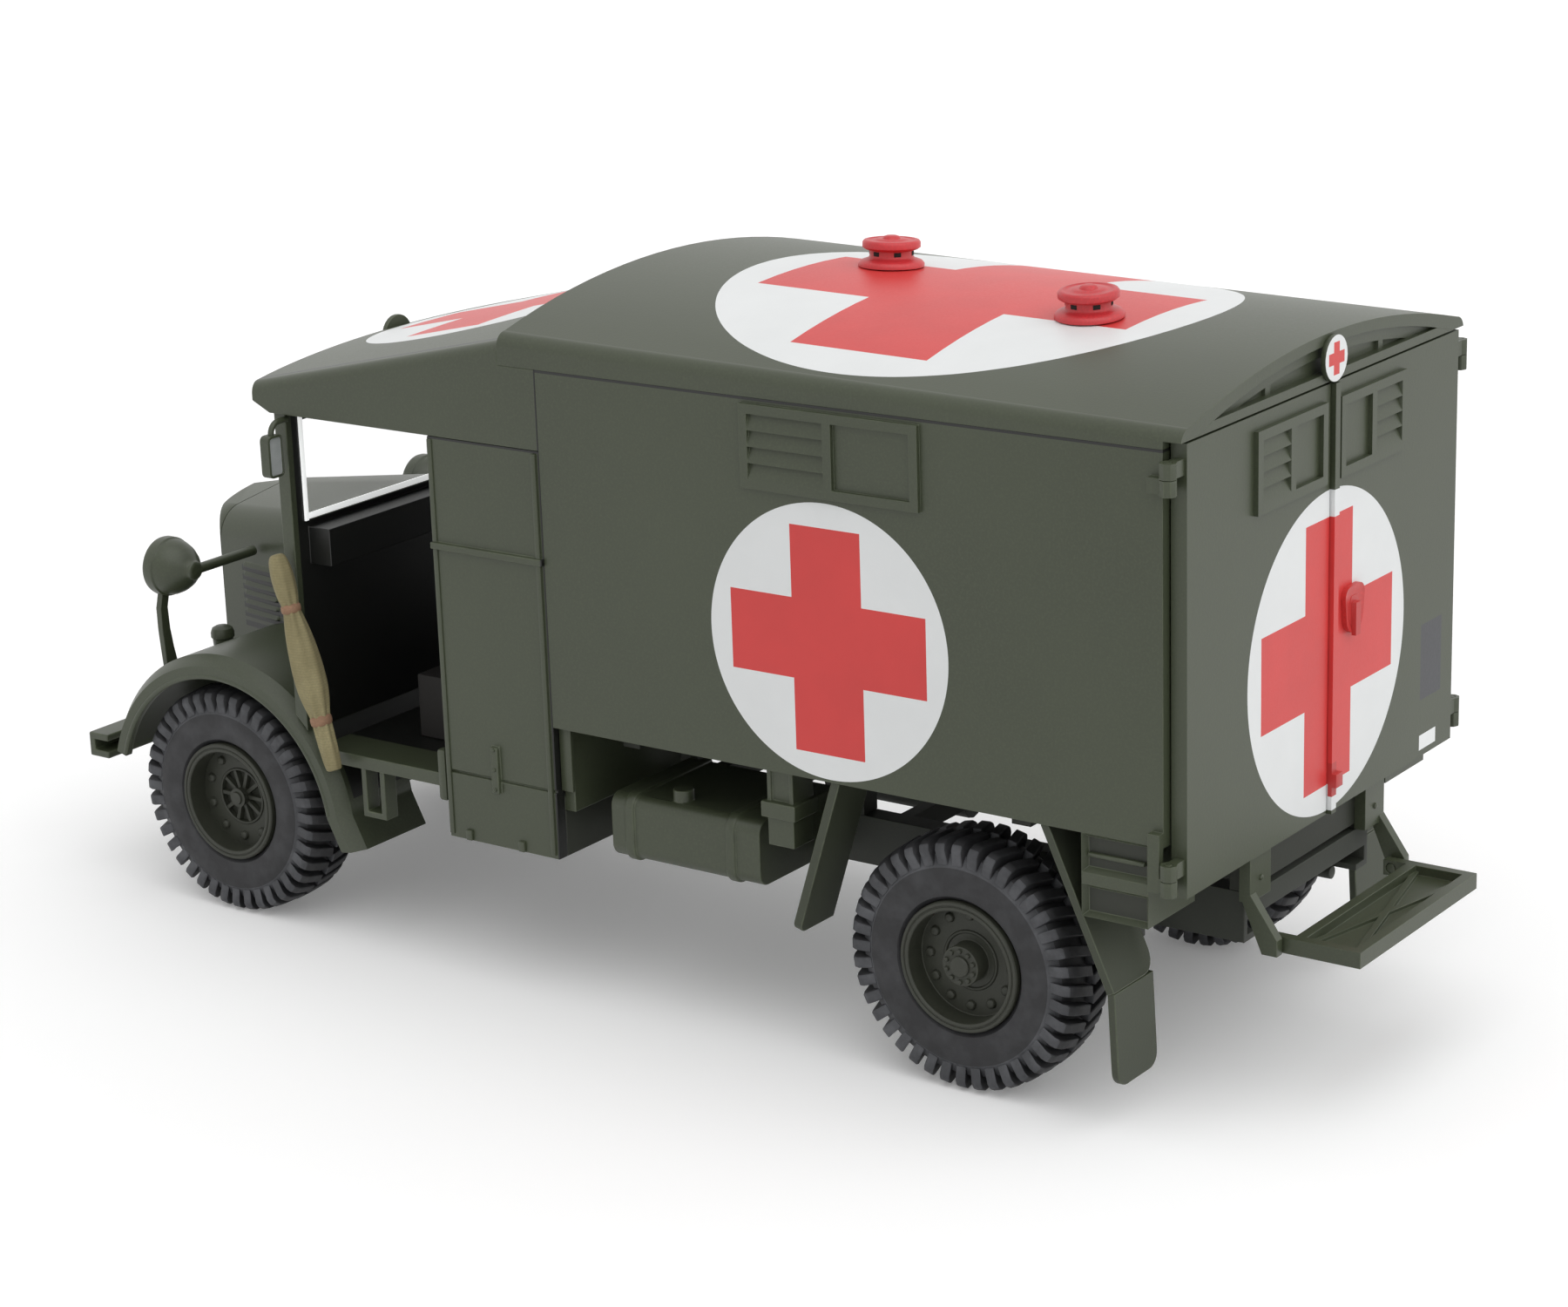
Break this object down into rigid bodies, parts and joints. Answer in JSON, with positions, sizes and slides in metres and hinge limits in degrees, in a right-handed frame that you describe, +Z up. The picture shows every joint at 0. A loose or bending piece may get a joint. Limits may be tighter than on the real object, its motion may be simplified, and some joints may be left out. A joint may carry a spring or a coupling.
{
  "type": "scale model of a military ambulance truck",
  "caption": "Plastic scale model of a boxy army ambulance truck with an open cab, red crosses on white, lugged tyres that roll, hinged rear doors and a folding rear step.",
  "frame": {"origin": "middle of the bounding box on the ground, rear step lowered", "axes": "+X forwards, +Y to the vehicle's left, +Z up"},
  "size_m": [0.1146, 0.046, 0.0566],
  "materials": {
    "body_green": "matte military green paint",
    "chassis_dark": "matte dark green paint",
    "wheel_green": "matte green paint",
    "tyre": "matte dark grey",
    "clear": "clear",
    "canvas": "matte khaki paint",
    "vent_red": "matte red paint",
    "sign_white": "matte white with a red cross",
    "seat": "matte brown paint"
  },
  "bodies": {
    "truck": {"rear_axle": "chassis_dark", "front_axle": "chassis_dark", "steering_knuckles": "chassis_dark", "leaf_springs": "chassis_dark", "chassis_frame": "chassis_dark", "engine_block": "chassis_dark", "propeller_shaft": "chassis_dark", "exhaust": "chassis_dark", "bonnet": "body_green", "grille": "body_green", "wing_left": "body_green", "wing_right": "body_green", "headlamps": "body_green", "headlamp_lenses": "clear", "bumper": "body_green", "body_roof": "body_green", "rear_header": "body_green", "roof_ventilators": "vent_red", "cab_roof": "body_green", "sign_discs": "sign_white", "cab_floor": "body_green", "cab_front": "body_green", "windscreen": "clear", "side_panel_left": "body_green", "side_panel_right": "body_green", "lockers": "body_green", "seats": "seat", "steering_wheel": "chassis_dark", "mirrors": "body_green", "rolled_screens": "canvas", "body_floor": "body_green", "body_side_left": "body_green", "body_side_right": "body_green", "front_bulkhead": "body_green", "fuel_tank": "body_green", "can_carrier": "body_green", "tool_boxes": "body_green", "mud_flaps": "body_green", "step_hangers": "body_green"},
    "wheel_front_left": {"tyre_front_left": "tyre", "rim_front_left": "wheel_green"},
    "wheel_front_right": {"tyre_front_right": "tyre", "rim_front_right": "wheel_green"},
    "wheel_rear_left": {"tyre_rear_left": "tyre", "rim_rear_left": "wheel_green"},
    "wheel_rear_right": {"tyre_rear_right": "tyre", "rim_rear_right": "wheel_green"},
    "door_left": {"door_left": "body_green"},
    "door_right": {"door_right": "body_green"},
    "rear_step": {"rear_step": "body_green"}
  },
  "joints": [
    {"name": "wheel_front_left_turn", "type": "hinge", "parent": "truck", "child": "wheel_front_left", "pos_m": [0.03995, 0.0164, 0.00955], "axis": [0, 1, 0], "continuous": true},
    {"name": "wheel_front_right_turn", "type": "hinge", "parent": "truck", "child": "wheel_front_right", "pos_m": [0.03995, -0.0164, 0.00955], "axis": [0, 1, 0], "continuous": true},
    {"name": "wheel_rear_left_turn", "type": "hinge", "parent": "truck", "child": "wheel_rear_left", "pos_m": [-0.03095, 0.0164, 0.00955], "axis": [0, 1, 0], "continuous": true},
    {"name": "wheel_rear_right_turn", "type": "hinge", "parent": "truck", "child": "wheel_rear_right", "pos_m": [-0.03095, -0.0164, 0.00955], "axis": [0, 1, 0], "continuous": true},
    {"name": "door_left_swing", "type": "hinge", "parent": "truck", "child": "door_left", "pos_m": [-0.0493, 0.0214, 0.03425], "axis": [0, 0, -1], "range_deg": [0, 180]},
    {"name": "door_right_swing", "type": "hinge", "parent": "truck", "child": "door_right", "pos_m": [-0.0493, -0.0214, 0.03425], "axis": [0, 0, 1], "range_deg": [0, 180]},
    {"name": "rear_step_fold", "type": "hinge", "parent": "truck", "child": "rear_step", "pos_m": [-0.05085, 0, 0.012], "axis": [0, 1, 0], "range_deg": [0, 90]}
  ]
}
